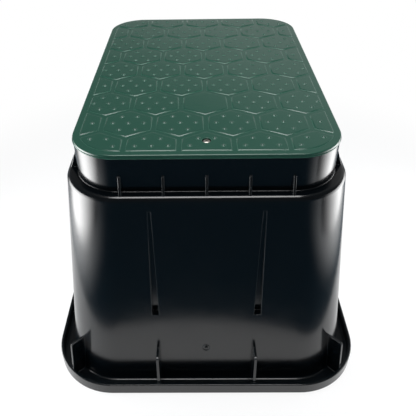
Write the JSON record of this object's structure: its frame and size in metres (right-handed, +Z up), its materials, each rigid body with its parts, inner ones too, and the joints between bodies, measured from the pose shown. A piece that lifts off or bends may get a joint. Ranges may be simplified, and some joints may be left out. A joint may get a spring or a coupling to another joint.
{
  "type": "irrigation valve box",
  "caption": "Rectangular ground box with flared walls, ribbed collar, lipped base flange and a screwed-down lid with raised hexagons and studs.",
  "frame": {"origin": "centre of the base, on the ground", "axes": "+Z up, +Y along the box away from the screw end, +X across it"},
  "size_m": [0.4036, 0.5456, 0.3286],
  "materials": {
    "body_plastic": "black polyethylene, moulded, glossy",
    "lid_plastic": "dark green polyethylene, moulded, semi-gloss",
    "screw_steel": "stainless steel, cold headed",
    "clip_steel": "spring steel sheet, zinc plated"
  },
  "bodies": {
    "root": {"box_body": "body_plastic", "lid": "lid_plastic", "lid_screw": "screw_steel", "screw_clip": "clip_steel"}
  },
  "joints": []
}
